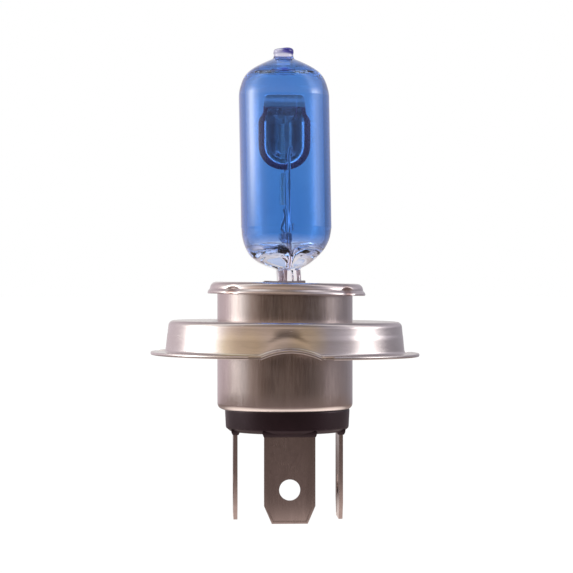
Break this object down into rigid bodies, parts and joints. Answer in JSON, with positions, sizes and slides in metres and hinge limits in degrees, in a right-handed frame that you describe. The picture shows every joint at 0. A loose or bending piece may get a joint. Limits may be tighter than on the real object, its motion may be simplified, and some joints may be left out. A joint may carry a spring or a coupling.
{
  "type": "headlight bulb",
  "caption": "Two-filament vehicle headlamp bulb: blue glass capsule with shielded dipped-beam filament on a steel focusing cap with three blade terminals.",
  "frame": {"origin": "centre of the reference plane, the glass-side face of the focusing ring's flange, on the lamp axis", "axes": "+Z along the lamp axis towards the glass tip; -Y towards the reference lug, the crosswise blade and the open side of the dipped-beam shield; +X to the right seen from there"},
  "size_m": [0.043, 0.043, 0.0752],
  "materials": {
    "blue_glass": "clear hard glass with a transparent blue coating, glossy",
    "clear_glass": "clear glass, glossy",
    "molybdenum": "dark satin refractory sheet",
    "tungsten": "dark satin drawn wire",
    "lead_wire": "bright drawn wire",
    "cap_steel": "bright rolled and pressed steel with light draw marks",
    "blade_steel": "plated blade stock, satin with fine rolling grain",
    "black_insulator": "moulded black insulating resin, semi-matte"
  },
  "bodies": {
    "root": {"glass_bulb": "blue_glass", "exhaust_tip": "blue_glass", "dipped_beam_shield": "molybdenum", "dipped_filament": "tungsten", "main_filament": "tungsten", "lead_overwind": "tungsten", "dipped_lead_rod": "lead_wire", "main_lead_rod": "lead_wire", "shield_support_rod": "lead_wire", "wire_bridge": "clear_glass", "pinch_clip": "cap_steel", "mounting_disc": "cap_steel", "base_shell": "cap_steel", "focusing_ring": "cap_steel", "base_insulator": "black_insulator", "dipped_foil": "molybdenum", "dipped_outer_lead": "lead_wire", "dipped_terminal": "blade_steel", "main_foil": "molybdenum", "main_outer_lead": "lead_wire", "main_terminal": "blade_steel", "common_foil": "molybdenum", "common_outer_lead": "lead_wire", "common_terminal": "blade_steel"}
  },
  "joints": []
}
